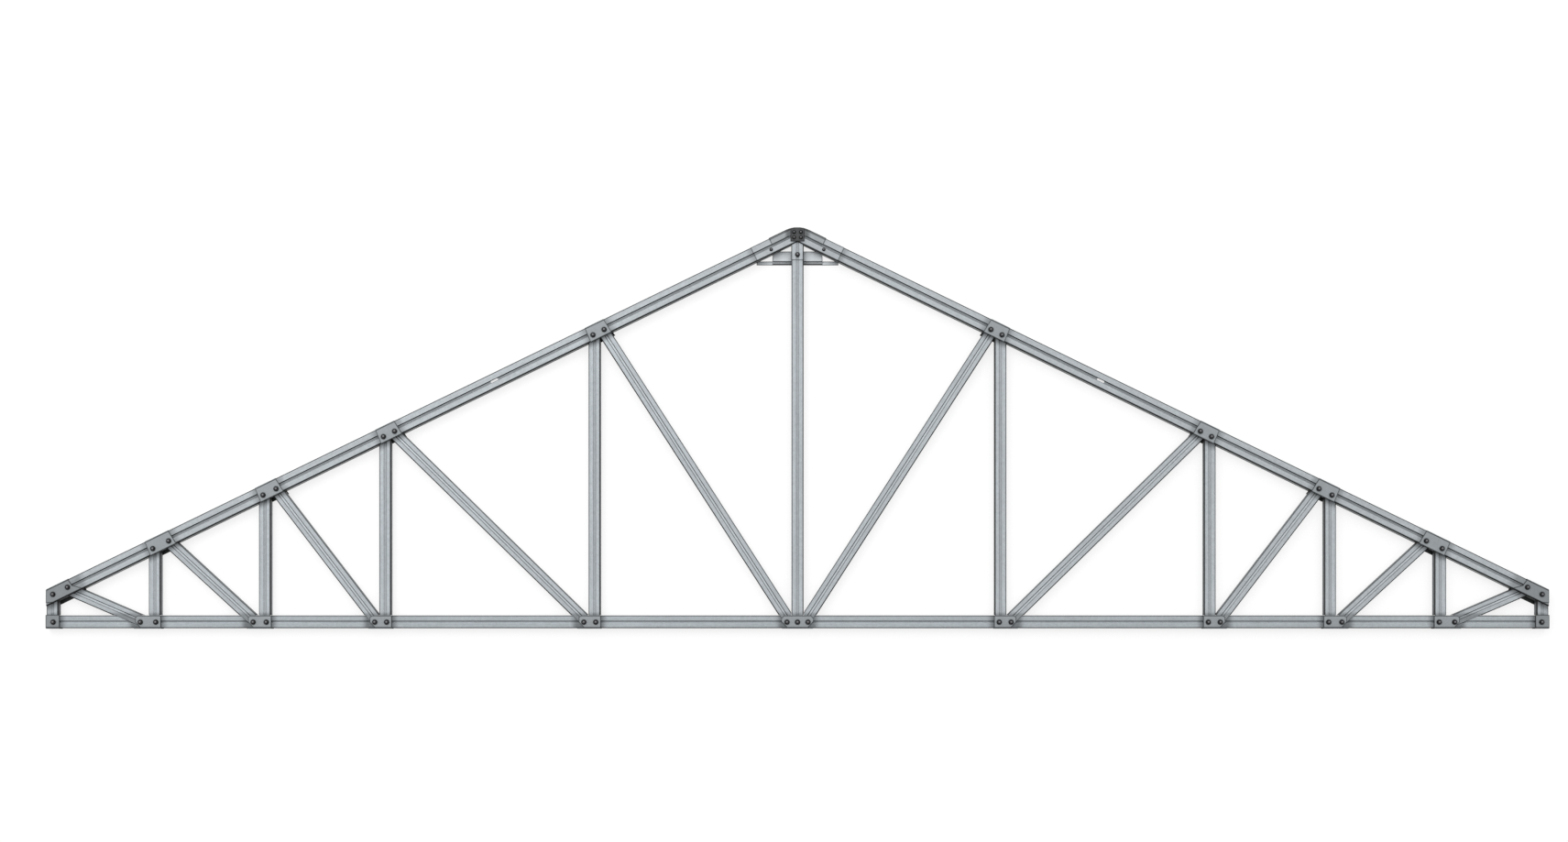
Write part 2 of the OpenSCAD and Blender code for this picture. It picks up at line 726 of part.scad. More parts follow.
module big_nut(at, z) {
    nut(at, z, bolt_d, bolt_flange_d, bolt_hex, nut_height);
}
module small_nut(at, z) {
    nut(at, z, small_bolt_d, small_flange_d, small_hex, small_nut_height);
}
module bolts(side) {
    color(dark_steel) on_side(side) {
        for (at = top_bolts) big_bolt(at, top_face + seat + plate, top_nut_seat);
        for (at = foot_bolts) big_bolt(at, web_face + seat + plate, foot_nut_seat);
        small_bolt(sleeve_bolt, sleeve_face, collar_face - cap_sheet);
    }
}
module nuts(side) {
    color(dark_steel) on_side(side) {
        for (at = top_bolts) big_nut(at, top_nut_seat);
        for (at = foot_bolts) big_nut(at, foot_nut_seat);
        small_nut(sleeve_bolt, collar_face - cap_sheet);
    }
}
module bolts_middle() {
    color(dark_steel) {
        for (at = centre_bolts) big_bolt(at, web_face + seat + plate, foot_nut_seat);
        for (at = ridge_bolts) small_bolt(at, plate_seat + plate, top_nut_seat);
        big_bolt(king_sleeve_bolt, web_face + seat + sheet, top_nut_seat);
    }
}
module nuts_middle() {
    color(dark_steel) {
        for (at = centre_bolts) big_nut(at, foot_nut_seat);
        for (at = ridge_bolts) small_nut(at, top_nut_seat);
        big_nut(king_sleeve_bolt, top_nut_seat);
    }
}

// ---- The truss ----------------------------------------------------------------------

module here() {
    translate([0, -(outline_top + outline_low) / 2, 0]) children();
}
function shown(name) = node == "all" || node == name;

if (shown("bottom_chord")) here() bottom_chord();
if (shown("king_post")) here() post_at(0);
if (shown("centre_bracket")) here() centre_bracket();
if (shown("ridge_cap")) here() ridge_cap();
if (shown("king_sleeve")) here() king_sleeve();
if (shown("ridge_plate")) here() ridge_plate();
if (shown("collar")) here() collar();
if (shown("tie_bar")) here() tie_bar();
if (shown("bolts_middle")) here() bolts_middle();
if (shown("nuts_middle")) here() nuts_middle();
for (s = sides) {
    if (shown(str("top_chord_", s))) here() top_chord(s);
    if (shown(str("heel_post_", s))) here() on_side(s) post_at(heel_post_at);
    if (shown(str("heel_diagonal_", s))) here() on_side(s) diagonal_member(0);
    if (shown(str("heel_top_bracket_", s))) here() on_side(s) heel_top_bracket();
    if (shown(str("heel_bottom_bracket_", s))) here() on_side(s) heel_bottom_bracket();
    if (shown(str("ridge_sleeve_", s))) here() ridge_sleeve(s);
    if (shown(str("bolts_", s))) here() bolts(s);
    if (shown(str("nuts_", s))) here() nuts(s);
    for (n = panels) {
        if (shown(str("post_", n, "_", s))) here() on_side(s) post_at(posts[n - 1]);
        if (shown(str("diagonal_", n, "_", s))) here() on_side(s) diagonal_member(n);
        if (shown(str("top_bracket_", n, "_", s))) here() on_side(s) top_bracket(n);
        if (shown(str("bottom_bracket_", n, "_", s))) here() on_side(s) bottom_bracket(n);
    }
}
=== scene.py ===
import bpy
from math import atan2, cos, pi, radians, sin, tan
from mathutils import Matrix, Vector


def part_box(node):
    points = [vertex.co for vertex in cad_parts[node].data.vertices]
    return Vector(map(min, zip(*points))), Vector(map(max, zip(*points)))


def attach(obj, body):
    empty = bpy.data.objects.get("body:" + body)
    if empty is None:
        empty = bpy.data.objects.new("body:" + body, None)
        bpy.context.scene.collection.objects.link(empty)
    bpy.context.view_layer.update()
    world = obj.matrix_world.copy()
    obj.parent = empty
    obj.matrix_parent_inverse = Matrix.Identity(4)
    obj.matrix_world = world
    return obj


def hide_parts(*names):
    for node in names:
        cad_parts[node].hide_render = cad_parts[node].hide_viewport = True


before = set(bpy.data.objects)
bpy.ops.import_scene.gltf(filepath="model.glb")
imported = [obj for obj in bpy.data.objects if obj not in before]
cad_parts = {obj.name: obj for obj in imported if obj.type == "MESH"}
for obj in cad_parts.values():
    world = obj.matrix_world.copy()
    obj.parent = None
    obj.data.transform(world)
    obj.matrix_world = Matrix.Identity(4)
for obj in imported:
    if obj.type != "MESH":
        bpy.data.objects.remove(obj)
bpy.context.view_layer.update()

SIDES = {"left": -1, "right": 1}
PANELS = (1, 2, 3, 4)


# ---- Finishes ---------------------------------------------------------------

# How softly a drawn band ends
SOFT = 0.001
# Widths of the painted shade line along a fold and round a plate
FOLD_LINE = 0.005
OUTLINE = 0.005
# From a member's middle line to the edge of its rib's floor, and to the rib's own edge
RIB_FLOOR = 0.0048
RIB_EDGE = 0.0105


class Wire:
    """An output socket that Python's arithmetic joins up with Math nodes."""

    def __init__(self, finish, socket):
        self.finish = finish
        self.socket = socket

    def math(self, operation, *values):
        return self.finish.add("ShaderNodeMath", {"operation": operation}, dict(enumerate(values)))

    def __add__(self, other):
        return self.math("ADD", self, other)

    def __sub__(self, other):
        return self.math("SUBTRACT", self, other)

    def __rsub__(self, other):
        return self.math("SUBTRACT", other, self)

    def __mul__(self, other):
        return self.math("MULTIPLY", self, other)

    def __abs__(self):
        return self.math("ABSOLUTE", self)

    __radd__ = __add__
    __rmul__ = __mul__

    def band(self, low, high):
        """1 between low and high, 0 outside them."""
        return self.ease(low - SOFT, low + SOFT) * (1 - self.ease(high - SOFT, high + SOFT))

    def ease(self, low, high):
        """0 below low, 1 above high and a smooth step in between."""
        return self.finish.add(
            "ShaderNodeMapRange", {"interpolation_type": "SMOOTHSTEP"},
            {"Value": self, "From Min": low, "From Max": high})


class Finish:
    """A material, with one way to add a node and one to link or set a socket."""

    def __init__(self, name):
        self.material = bpy.data.materials.new(name)
        self.material.use_nodes = True
        self.tree = self.material.node_tree
        self.surface = self.tree.nodes["Principled BSDF"]

    def put(self, socket, value):
        if isinstance(value, Wire):
            self.tree.links.new(value.socket, socket)
        else:
            socket.default_value = value

    def add(self, kind, settings, inputs, output=0):
        node = self.tree.nodes.new(kind)
        for name, value in settings.items():
            setattr(node, name, value)
        for place, value in inputs.items():
            self.put(node.inputs[place], value)
        return Wire(self, node.outputs[output])

    def set(self, **sockets):
        for name, value in sockets.items():
            self.put(self.surface.inputs[name.replace("_", " ")], value)

    # What a finish is usually worked out from
    def place(self):
        return self.add("ShaderNodeTexCoord", {}, {}, "Object")

    def normal(self, axis):
        """How far a point of the surface faces along an axis, from -1 to 1."""
        normal = self.add("ShaderNodeTexCoord", {}, {}, "Normal")
        return self.part(normal, axis)

    def height(self):
        return self.part(self.place(), "Z")

    def nook(self, reach):
        """1 in the open, falling to 0 in a corner or under something."""
        return self.add("ShaderNodeAmbientOcclusion", {"samples": 2}, {"Distance": reach}, "AO")

    def turned(self, angle, middle=0.0):
        """Object coordinates turned so that x runs along a member at that angle."""
        return self.add("ShaderNodeMapping", {"vector_type": "POINT"},
                        {"Vector": self.place(), "Rotation": (0, 0, -angle),
                         "Location": (0, -middle, 0)})

    def part(self, at, axis):
        return self.add("ShaderNodeSeparateXYZ", {}, {0: at}, axis)

    def stretched(self, at, scale):
        return self.add("ShaderNodeVectorMath", {"operation": "MULTIPLY"}, {0: at, 1: scale})

    def dot(self, at, direction):
        return self.add("ShaderNodeVectorMath", {"operation": "DOT_PRODUCT"},
                        {0: at, 1: direction}, "Value")

    def noise(self, at, scale, detail=2.0, roughness=0.5):
        """Noise about 0, from -0.5 to 0.5."""
        return self.add("ShaderNodeTexNoise", {},
                        {"Vector": at, "Scale": scale, "Detail": detail,
                         "Roughness": roughness}) - 0.5

    def crystals(self, at, scale):
        """An even random tone for each cell, from -0.5 to 0.5."""
        cell = self.add("ShaderNodeTexVoronoi", {}, {"Vector": at, "Scale": scale}, "Color")
        return self.part(cell, "X") - 0.5

    def shade(self, colour, tone):
        return self.add("ShaderNodeVectorMath", {"operation": "SCALE"},
                        {0: colour, "Scale": tone})

    def bumps(self, height, distance, strength):
        return self.add("ShaderNodeBump", {},
                        {"Height": height, "Distance": distance, "Strength": strength})


def painted_shade(finish, flank_shade, deep=0.15):
    """Painted shade on what lies deep or faces sideways: flanks, corners and the back."""
    return (
        (flank_shade + (1 - flank_shade) * abs(finish.normal("Z")).ease(0.1, 0.7))
        * (0.12 + 0.88 * finish.nook(0.06).ease(0.05, 0.7))
        * (deep + (1 - deep) * finish.height().ease(0.006, 0.03))
    )


def drawn(finish, segments, width):
    """1 within a width of any of the segments, 0 elsewhere."""
    at = finish.place()
    mask = 0
    for middle, along, reach in segments:
        ahead = finish.dot(at, (along[0], along[1], 0)) - (
            middle[0] * along[0] + middle[1] * along[1])
        aside = finish.dot(at, (-along[1], along[0], 0)) - (
            middle[1] * along[0] - middle[0] * along[1])
        line = (1 - abs(aside).ease(0.6 * width, width)) * (
            1 - abs(ahead).ease(reach, reach + 0.003))
        mask = line + mask
    return mask.math("MINIMUM", mask, 1.0)


def bolt_shadow(finish, places):
    """Tone of the painted shadow round bolts at the places, each a middle and a radius."""
    at = finish.stretched(finish.place(), (1, 1, 0))
    tone = 1
    for middle, radius in places:
        away = finish.add("ShaderNodeVectorMath", {"operation": "DISTANCE"},
                          {0: at, 1: (middle[0], middle[1], 0)}, "Value")
        tone = (0.35 + 0.65 * away.ease(radius, radius + 0.006)) * tone
    return tone


def galvanised(name, colour, lie, front, rib, shadow, heavy, flank_shade=0.32, line=0.75):
    """Zinc-coated rolled sheet: fine lines along the member, faint crystals, and painted shade
    along the folds, on the flanks, in corners and on the back.
    lie is the member's direction, the offset of its middle line and half its width;
    front is the height of its front face; rib holds the tones of the painted shade and
    highlight on its rib's upper wall, floor and lower wall; heavy is the side and width of
    its fold with wider painted shade; and shadow(finish, at) is its tone beside what crosses it."""
    angle, middle, half = lie
    upper, ground, lower = rib
    finish = Finish(name)
    at = finish.turned(angle, middle)
    lines = finish.noise(finish.stretched(at, (1.6, 90, 20)), 1.0, 3.0, 0.6)
    scratches = finish.noise(finish.stretched(at, (9, 600, 60)), 1.0, 1.0)
    clouds = finish.noise(at, 2.2, 2.0)
    spangle = finish.noise(finish.stretched(at, (60, 110, 60)), 1.0, 2.0, 0.7)
    cells = finish.crystals(at, 70)
    across = finish.part(at, "Y")
    side, width = heavy
    near_front = finish.height().ease(front - 0.010, front - 0.004)
    # Painted shade: a dark line along both folds of the front face, and a wider band along the
    # fold on the heavy side
    fold = near_front * abs(across).ease(half - 1.5 * FOLD_LINE, half - FOLD_LINE)
    shaded_fold = near_front * (side * across).ease(half - width - SOFT, half - width + SOFT)
    tone = (
        (1 + 0.42 * lines + 0.12 * scratches + 0.18 * clouds + 0.30 * spangle + 0.08 * cells)
        # painted shade and highlight on the rib's upper wall, floor and lower wall
        * (1 - (1 - upper) * across.band(RIB_FLOOR, RIB_EDGE))
        * (1 - (1 - ground) * across.band(-RIB_FLOOR, RIB_FLOOR))
        * (1 - (1 - lower) * across.band(-RIB_EDGE, -RIB_FLOOR))
        * (1 - line * fold)
        * (1 - 0.75 * shaded_fold)
        # painted shade on the flanks, in corners and on the back
        * painted_shade(finish, flank_shade)
        * shadow(finish, at)
    )
    finish.set(
        Base_Color=finish.shade(colour, tone),
        Metallic=0.55,
        Roughness=0.46 + 0.25 * lines - 0.10 * cells,
        Normal=finish.bumps(lines + 0.4 * scratches, 0.0004, 0.35),
    )
    return finish.material


def pressed_plate(name, colour, angle=0.0, segments=(), places=(), flank_shade=0.26, line=0.75,
                  deep=0.15, mark=None):
    """Thicker hot-dipped plate, cloudier and duller than the rolled sheet."""
    finish = Finish(name)
    at = finish.turned(angle)
    clouds = finish.noise(at, 14, 4.0, 0.6)
    lines = finish.noise(finish.stretched(at, (6, 160, 30)), 1.0, 2.0)
    cells = finish.crystals(at, 120)
    tone = (
        (1 + 0.28 * clouds + 0.12 * lines + 0.06 * cells)
        # painted shade on the flanks, in corners and on the back
        * painted_shade(finish, flank_shade, deep)
    )
    # Painted shade: a dark line round the plate's front edges
    if segments:
        tone = tone * (1 - line * drawn(finish, segments, OUTLINE))
    # painted shadow round the bolts
    if places:
        tone = tone * bolt_shadow(finish, places)
    if mark:
        tone = tone * mark(finish)
    finish.set(
        Base_Color=finish.shade(colour, tone),
        Metallic=0.5,
        Roughness=0.5 + 0.3 * clouds,
        Normal=finish.bumps(clouds + 0.3 * cells, 0.0005, 0.3),
    )
    return finish.material


def blackened(name, colour, crown):
    """Oiled black oxide, worn through to the metal on the crowns of the heads, with a painted
    highlight that makes the crowns lighter on their upper side.
    """
    finish = Finish(name)
    at = finish.place()
    grain = finish.noise(at, 300, 3.0)
    scuffs = finish.noise(at, 60, 3.0, 0.6).ease(0.05, 0.25)
    # Metal worn through on the crowns, with a painted highlight that makes their upper side
    # lighter
    bare_and_highlight = (finish.normal("Z").ease(0.982, 0.997)
            * (0.35 + 0.65 * finish.normal("Y").ease(-0.1, 0.12)))
    finish.set(
        Base_Color=finish.shade(colour, 1 + 0.4 * grain + 1.2 * scuffs + crown * bare_and_highlight),
        Metallic=0.4,
        Roughness=0.45 + 0.3 * grain,
        Specular_IOR_Level=0.2,
        Normal=finish.bumps(grain, 0.0003, 0.3),
    )
    return finish.material


# ---- Camera, floor and light --------------------------------------------------

def camera():
    data = bpy.data.cameras.new("camera")
    data.lens = 39.9
    data.sensor_width = 36
    data.shift_x = -0.0086
    data.shift_y = 0.1322
    data.clip_end = 200
    stand = bpy.data.objects.new("camera", data)
    stand.location = (0, -1.279, 11.16)
    bpy.context.scene.collection.objects.link(stand)
    bpy.context.scene.camera = stand


def floor():
    bpy.ops.object.select_all(action="DESELECT")
    bpy.ops.mesh.primitive_plane_add(size=120, location=(0, 0, 0))
    ground = bpy.context.object
    ground.name = "floor"
    finish = Finish("pale_floor")
    seen = finish.add("ShaderNodeLightPath", {}, {}, "Is Camera Ray")
    glossy = finish.add("ShaderNodeLightPath", {}, {}, "Is Glossy Ray")
    shown = seen.math("MAXIMUM", seen, glossy)
    finish.set(
        Base_Color=finish.shade((1, 1, 1), 0.72 - 0.44 * shown),
        Roughness=1.0,
        Specular_IOR_Level=0.0,
        Emission_Color=finish.shade((1, 1, 1), 0.75 * shown),
        Emission_Strength=1.0,
    )
    ground.data.materials.append(finish.material)


def daylight():
    """A white dome, seen as plain white, that shines more from the top of the roof."""
    world = bpy.data.worlds.new("studio")
    bpy.context.scene.world = world
    world.use_nodes = True
    tree = world.node_tree
    look = tree.nodes.new("ShaderNodeTexCoord")
    split = tree.nodes.new("ShaderNodeSeparateXYZ")
    lean = tree.nodes.new("ShaderNodeMath")
    lean.operation = "MULTIPLY_ADD"
    lean.inputs[1].default_value = 0.75
    lean.inputs[2].default_value = 0.95
    tree.links.new(look.outputs["Generated"], split.inputs[0])
    tree.links.new(split.outputs["Y"], lean.inputs[0])
    seen = tree.nodes.new("ShaderNodeLightPath")
    choice = tree.nodes.new("ShaderNodeMix")
    choice.inputs["B"].default_value = 1.0
    tree.links.new(seen.outputs["Is Camera Ray"], choice.inputs["Factor"])
    tree.links.new(lean.outputs[0], choice.inputs["A"])
    tree.links.new(choice.outputs["Result"], tree.nodes["Background"].inputs["Strength"])
    tree.nodes["Background"].inputs["Color"].default_value = (1, 1, 1, 1)


def lamp(name, place, aim, size, watts):
    data = bpy.data.lights.new(name, "AREA")
    data.size = size
    data.energy = watts
    box = bpy.data.objects.new(name, data)
    box.location = place
    box.rotation_euler = (Vector(aim) - Vector(place)).to_track_quat("-Z", "Y").to_euler()
    bpy.context.scene.collection.objects.link(box)


# ---- Dressing the truss ---------------------------------------------------------

CHANNEL = (0.430, 0.465, 0.490)
TOP_CHORD = (0.424, 0.458, 0.481)
BOTTOM_CHORD = (0.392, 0.428, 0.452)
PLATE = (0.300, 0.325, 0.340)
DARK_PLATE = (0.245, 0.264, 0.276)
SLEEVE = (0.390, 0.420, 0.440)
COLLAR = (0.620, 0.655, 0.680)
CAP = (0.330, 0.352, 0.365)
RIDGE_PLATE = (0.062, 0.065, 0.067)
BLACK = (0.004, 0.004, 0.0043)


def lie_of(node):
    """A member's direction, the offset of its middle line and half its width: the
    direction is the one in which it is narrowest."""
    corners = {(round(corner.co.x, 4), round(corner.co.y, 4))
               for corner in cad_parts[node].data.vertices}

    def sides(angle):
        across = [y * cos(angle) - x * sin(angle) for x, y in corners]
        return min(across), max(across)

    def width(angle):
        low, high = sides(angle)
        return high - low

    best = min((step * pi / 36 for step in range(-17, 19)), key=width)
    for step in (0.02, 0.004, 0.001, 0.0002, 0.00004):
        best = min((best + k * step for k in range(-5, 6)), key=width)
    low, high = sides(best)
    return best, (low + high) / 2, (high - low) / 2


def dress(node, material):
    """Put the material in all of a node's slots."""
    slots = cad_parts[node].data.materials
    if len(slots) == 0:
        slots.append(material)
    for place in range(len(slots)):
        slots[place] = material


# Widths of the painted shade along the fold on a member's shaded side
CHORD_FOLD = 0.009
POST_FOLD = 0.009
DIAGONAL_FOLD = 0.007
OTHER_FOLD = 0.006
# Tones of the painted shade and highlight on a rib's upper wall, floor and lower wall
CHORD_RIB = (0.06, 0.52, 0.65)
BOTTOM_RIB = (0.62, 0.78, 1.05)
DIAGONAL_RIB = (0.40, 1.22, 0.45)
POST_RIB = (0.84, 0.84, 0.80)


def outline_of(node):
    """Segments round the flat front of a plate, each a middle, a direction and a reach."""
    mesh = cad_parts[node].data
    front = max(corner.co.z for corner in mesh.vertices)
    sides = {}
    for face in mesh.polygons:
        corners = [mesh.vertices[corner].co for corner in face.vertices]
        if min(corner.z for corner in corners) < front - 0.0001:
            continue
        spots = [(round(corner.x, 5), round(corner.y, 5)) for corner in corners]
        for start, end in zip(spots, spots[1:] + spots[:1]):
            pair = tuple(sorted((start, end)))
            sides[pair] = sides.get(pair, 0) + 1
    runs = {}
    for (start, end), shared in sides.items():
        if shared > 1 or start == end:
            continue
        angle = atan2(end[1] - start[1], end[0] - start[0]) % pi
        offset = start[1] * cos(angle) - start[0] * sin(angle)
        runs.setdefault((round(angle, 2), round(offset, 3)), []).append(
            (Vector(start), Vector(end)))
    segments = []
    for pieces in runs.values():
        spots = sorted(tuple(spot) for piece in pieces for spot in piece)
        start, end = Vector(spots[0]), Vector(spots[-1])
        length = sum((last - first).length for first, last in pieces)
        if length > max(0.012, 0.8 * (end - start).length):
            segments.append(((start + end) / 2, (end - start).normalized(), length / 2))
    return segments


def bolts_in(node):
    """Middle and radius of each bolt whose middle lies inside a node's box."""
    low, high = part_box(node)
    return [(middle, radius) for middle, radius in BOLT_PLACES
            if low.x < middle.x < high.x and low.y < middle.y < high.y]


def beside_brackets(brackets, angle, deep):
    """Shadow on a chord at both ends of each bracket over it."""
    spans = []
    for node in brackets:
        along = [corner.co.x * cos(angle) + corner.co.y * sin(angle)
                 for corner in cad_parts[node].data.vertices if corner.co.z > 0.03]
        spans.append((min(along), max(along)))

    def shadow(finish, at):
        along = finish.part(at, "X")
        tone = 1
        for low, high in spans:
            past = abs(along - (low + high) / 2) - (high - low) / 2
            tone = (deep + (1 - deep) * past.ease(0.0, 0.05)) * tone
        return tone
    return shadow


def shaded_ends(node):
    """Painted shade: a dark line at both ends of a sleeve."""
    angle = lie_of(node)[0]
    along = [corner.co.x * cos(angle) + corner.co.y * sin(angle)
             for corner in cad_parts[node].data.vertices if corner.co.z > 0.03]
    low, high = min(along), max(along)

    def shadow(finish, at):
        inward = (high - low) / 2 - abs(finish.part(at, "X") - (low + high) / 2)
        return 0.35 + 0.65 * inward.ease(0.004, 0.006)
    return shadow


def between_chords(side):
    """Shadow on a web member where it comes out from under the chords."""
    angle, middle, half = lie_of("top_chord_" + side)
    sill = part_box("bottom_chord")[1].y

    def shadow(finish, at):
        below = (middle - half) - finish.dot(finish.place(), (-sin(angle), cos(angle), 0))
        above = finish.part(finish.place(), "Y") - sill
        return (0.30 + 0.70 * below.ease(0.0, 0.05)) * (0.55 + 0.45 * above.ease(0.0, 0.03))
    return shadow


def cap_shade(finish):
    """Painted shade: the ridge cap is dark in the middle, where it is bent, and along its outer
    edge.
    """
    angle, middle, half = lie_of("top_chord_right")
    away = abs(finish.part(finish.place(), "X"))
    across = cos(angle) * finish.part(finish.place(), "Y") - sin(angle) * away
    return (
        (0.38 + 0.62 * away.ease(0.06, 0.09))
        * (1 - 0.60 * across.ease(middle + half - 0.013, middle + half - 0.010))
    )


def lip_shade(finish):
    """Painted shade: the collar's lower lip lies deep and is black along its edge."""
    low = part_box("collar")[0].y
    return 0.12 + 0.88 * finish.part(finish.place(), "Y").ease(low + 0.010, low + 0.014)


def dress_members():
    """Give every member, bracket and ridge piece its finish."""
    def zinc(node, colour, rib, shadow, heavy=(-1, OTHER_FOLD), **looks):
        dress(node, galvanised(node + "_zinc", colour, lie_of(node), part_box(node)[1].z,
                               rib, shadow, heavy, **looks))

    def plate(node, colour, angle=0.0, **looks):
        dress(node, pressed_plate(node + "_zinc", colour, angle, outline_of(node),
                                  bolts_in(node), **looks))

    feet = ["centre_bracket"] + [
        f"{part}_{side}" for side in SIDES
        for part in ["heel_bottom_bracket"] + [f"bottom_bracket_{n}" for n in PANELS]]
    zinc("bottom_chord", BOTTOM_CHORD, BOTTOM_RIB, beside_brackets(feet, 0.0, 0.42))
    zinc("king_post", CHANNEL, POST_RIB, between_chords("right"))
    zinc("king_sleeve", CHANNEL, POST_RIB, shaded_ends("king_sleeve"))
    for side, sign in SIDES.items():
        slope = lie_of("top_chord_" + side)[0]
        heads = ([f"heel_top_bracket_{side}", f"ridge_sleeve_{side}"]
                 + [f"top_bracket_{n}_{side}" for n in PANELS])
        zinc("top_chord_" + side, TOP_CHORD, CHORD_RIB, beside_brackets(heads, slope, 0.65),
             (-1, CHORD_FOLD), line=0.9)
        zinc("ridge_sleeve_" + side, SLEEVE, CHORD_RIB, shaded_ends("ridge_sleeve_" + side),
             (-1, CHORD_FOLD))
        web = between_chords(side)
        for post in ["heel_post_"] + [f"post_{n}_" for n in PANELS]:
            zinc(post + side, CHANNEL, POST_RIB, web, (sign, POST_FOLD))
        for diagonal in ["heel_diagonal_"] + [f"diagonal_{n}_" for n in PANELS]:
            zinc(diagonal + side, CHANNEL, DIAGONAL_RIB, web, (-1, DIAGONAL_FOLD))
        for n in PANELS:
            plate(f"top_bracket_{n}_{side}", PLATE, slope)
            plate(f"bottom_bracket_{n}_{side}", PLATE)
        plate("heel_top_bracket_" + side, DARK_PLATE, slope)
        plate("heel_bottom_bracket_" + side, DARK_PLATE)
    plate("centre_bracket", PLATE)
    plate("ridge_cap", CAP, mark=cap_shade)
    plate("ridge_plate", RIDGE_PLATE)
    plate("collar", COLLAR, deep=1.0, mark=lip_shade)
    plate("tie_bar", COLLAR, deep=1.0)


# ---- Bolts and nuts -------------------------------------------------------------

GROUPS = ("left", "right", "middle")
# Thickness of the flanges and pitch of the threads
FLANGE = 0.0025
THREAD = 0.002
# Fasteners with a flange wider than this are the large ones
LARGE_FLANGE = 0.027
# Width over flats, head height and shank diameter of the large and the small bolts
LARGE_BOLT = (0.024, 0.008, 0.016)
SMALL_BOLT = (0.016, 0.005, 0.010)
# Width over flats and bore of the large and the small nuts
LARGE_NUT = (0.024, 0.017)
SMALL_NUT = (0.016, 0.011)
# How much brighter the worn crowns, with their painted highlight, are than the black
CROWN = 65


def solids_of(node):
    """Boxes of a node's separate solids; triangles that share a corner are one solid."""
    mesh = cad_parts[node].data
    spots = [tuple(round(part, 5) for part in corner.co) for corner in mesh.vertices]
    above = {spot: spot for spot in spots}

    def top(spot):
        while above[spot] != spot:
            above[spot] = above[above[spot]]
            spot = above[spot]
        return spot

    for face in mesh.polygons:
        corners = [top(spots[corner]) for corner in face.vertices]
        for corner in corners:
            above[top(corner)] = top(corners[0])
    solids = {}
    for spot in set(spots):
        solids.setdefault(top(spot), []).append(spot)
    return [(Vector(map(min, zip(*corners))), Vector(map(max, zip(*corners))))
            for corners in solids.values()]


def choose(*pieces):
    """Select only these pieces, the first of them active."""
    bpy.ops.object.select_all(action="DESELECT")
    for piece in pieces:
        piece.select_set(True)
    bpy.context.view_layer.objects.active = pieces[0]


def begin(add, **sizes):
    """A new primitive, alone in the selection."""
    bpy.ops.object.select_all(action="DESELECT")
    add(**sizes)
    return bpy.context.object


def pick(piece, chosen):
    """Enter edit mode with only the faces selected for which chosen(face) holds."""
    bpy.context.view_layer.objects.active = piece
    bpy.ops.object.mode_set(mode="EDIT")
    bpy.ops.mesh.select_mode(type="FACE")
    bpy.ops.mesh.select_all(action="DESELECT")
    bpy.ops.object.mode_set(mode="OBJECT")
    for face in piece.data.polygons:
        face.select = bool(chosen(face))
    bpy.ops.object.mode_set(mode="EDIT")


def done():
    """Leave edit mode."""
    bpy.ops.object.mode_set(mode="OBJECT")


def cut(piece, tool, operation):
    """Apply a boolean with the tool, and remove the tool."""
    modifier = piece.modifiers.new(operation.lower(), "BOOLEAN")
    modifier.operation = operation
    modifier.object = tool
    modifier.solver = "EXACT"
    bpy.context.view_layer.objects.active = piece
    bpy.ops.object.modifier_apply(modifier=modifier.name)
    bpy.data.objects.remove(tool)


def merged(pieces):
    """The pieces joined into one."""
    choose(*pieces)
    if len(pieces) > 1:
        bpy.ops.object.join()
    return bpy.context.object


def hexagon(across, low, high, up):
    """Hexagonal block with its outer end chamfered by a cone; up is 1 for an upper end."""
    tall = high - low
    block = begin(bpy.ops.mesh.primitive_cylinder_add, vertices=6,
                  radius=across / 2 / cos(pi / 6), depth=tall,
                  location=(0, 0, (low + high) / 2))
    narrow, wide = 0.47 * across, 0.47 * across + tall / tan(radians(28))
    cone = begin(bpy.ops.mesh.primitive_cone_add, vertices=36,
                 radius1=wide if up > 0 else narrow, radius2=narrow if up > 0 else wide,
                 depth=tall, location=(0, 0, (low + high) / 2))
    cut(block, cone, "INTERSECT")
    return block


def stepped_disc(wide, seat, out, rim, steps):
    """Disc on a seat, its outer face drawn in and up by steps; out is 1 for upward."""
    disc = begin(bpy.ops.mesh.primitive_cylinder_add, vertices=36, radius=wide / 2,
                 depth=rim, location=(0, 0, seat + out * rim / 2))
    pick(disc, lambda face: face.normal.z * out > 0.9)
    for inward, rise in steps:
        bpy.ops.mesh.inset(thickness=inward, depth=rise)
    done()
    return disc


def flange(wide, across, seat, out):
    """Flange that slopes up from its rim to the hexagon on it."""
    return stepped_disc(wide, seat, out, 0.6 * FLANGE, [((wide - across) / 2, 0.5 * FLANGE)])


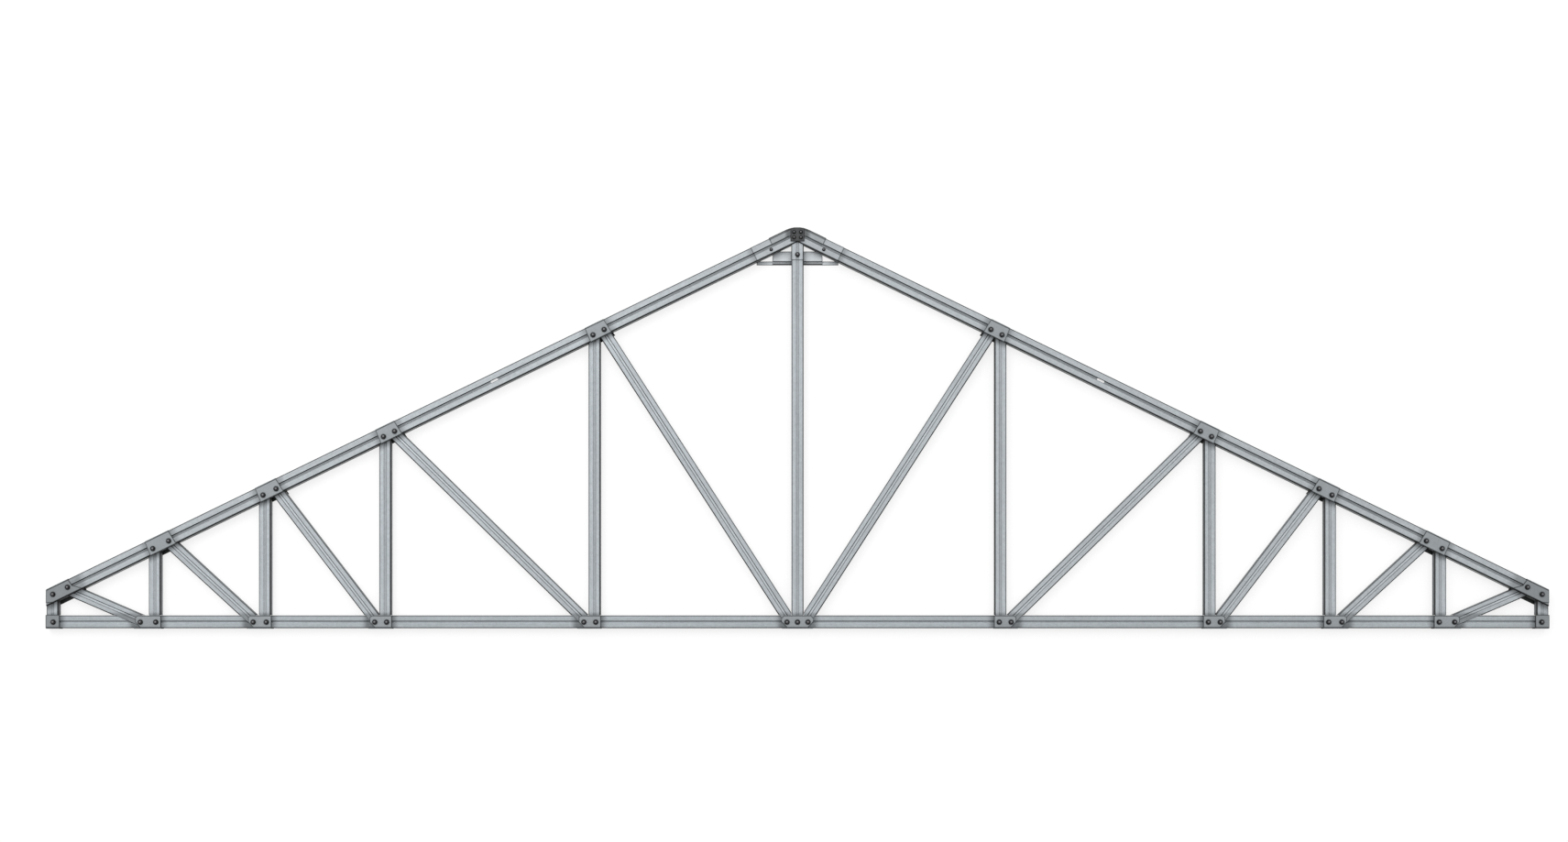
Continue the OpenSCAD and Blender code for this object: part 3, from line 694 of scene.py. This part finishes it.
def bolt_shape(wide, low, high):
    """Flanged bolt between the heights low and high, with a domed crown."""
    across, head, shank = LARGE_BOLT if wide > LARGE_FLANGE else SMALL_BOLT
    seat = high - head - FLANGE
    crown = 0.06 * across
    block = hexagon(across, seat + 0.5 * FLANGE, high - crown, 1)
    dome = stepped_disc(0.88 * across, high - 1.2 * crown, 1, 0.4 * crown,
                        [(0.12 * across, 0.45 * crown), (0.14 * across, 0.35 * crown)])
    rod = begin(bpy.ops.mesh.primitive_cylinder_add, vertices=24, radius=0.86 * shank / 2,
                depth=seat - low, location=(0, 0, (seat + low) / 2))
    turn = begin(bpy.ops.mesh.primitive_cylinder_add, vertices=24, radius=shank / 2,
                 depth=THREAD, location=(0, 0, low + 0.8 * THREAD))
    pick(turn, lambda face: abs(face.normal.z) > 0.9)
    bpy.ops.mesh.bevel(offset=0.4 * THREAD, segments=1)
    done()
    rows = turn.modifiers.new("turns", "ARRAY")
    rows.count = 4
    rows.use_relative_offset = False
    rows.use_constant_offset = True
    rows.constant_offset_displace = (0, 0, THREAD)
    bpy.ops.object.modifier_apply(modifier=rows.name)
    return merged([block, dome, flange(wide, across, seat, 1), rod, turn])


def nut_shape(wide, low, high):
    """Flanged nut that hangs below the height high."""
    across, bore = LARGE_NUT if wide > LARGE_FLANGE else SMALL_NUT
    parts = [hexagon(across, low, high - 0.5 * FLANGE, -1), flange(wide, across, high, -1)]
    for part in parts:
        drill = begin(bpy.ops.mesh.primitive_cylinder_add, vertices=24, radius=bore / 2,
                      depth=0.1, location=(0, 0, (low + high) / 2))
        cut(part, drill, "DIFFERENCE")
    return merged(parts)


def finish_piece(piece, node, material):
    """Smooth the piece's curves, fix its place in its mesh, and name and join it up."""
    choose(piece)
    bpy.ops.object.transform_apply(location=True, rotation=True, scale=True)
    bpy.ops.object.shade_smooth_by_angle(angle=radians(20))
    piece.name = piece.data.name = node + "_threaded"
    piece.data.materials.clear()
    piece.data.materials.append(material)
    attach(piece, "root")
    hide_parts(node)


def model_bolts():
    """Model each kind of bolt and nut once, and copy it to its places."""
    black = blackened("black_oxide", BLACK, CROWN)
    for group, shape in (("bolts", bolt_shape), ("nuts", nut_shape)):
        patterns = {}
        for place in GROUPS:
            node = f"{group}_{place}"
            dress(node, black)
            copies = []
            for number, (low, high) in enumerate(solids_of(node)):
                kind = (round(high.x - low.x, 4), round(low.z, 4), round(high.z, 4))
                if kind not in patterns:
                    patterns[kind] = shape(high.x - low.x, low.z, high.z)
                choose(patterns[kind])
                bpy.ops.object.duplicate()
                copy = bpy.context.object
                copy.location.x += (low.x + high.x) / 2
                copy.location.y += (low.y + high.y) / 2
                bpy.ops.object.transform_apply(location=True, rotation=False, scale=False)
                copies.append(copy)
            finish_piece(merged(copies), node, black)
        for pattern in patterns.values():
            bpy.data.objects.remove(pattern)


BOLT_PLACES = [((low + high) / 2, (high.x - low.x) / 2)
               for place in GROUPS for low, high in solids_of("bolts_" + place)]

camera()
floor()
daylight()
lamp("key", (-6.0, 6.5, 9.0), (0, 0, 0), 6.0, 300)
bpy.context.scene.view_settings.view_transform = "Standard"
dress_members()
model_bolts()
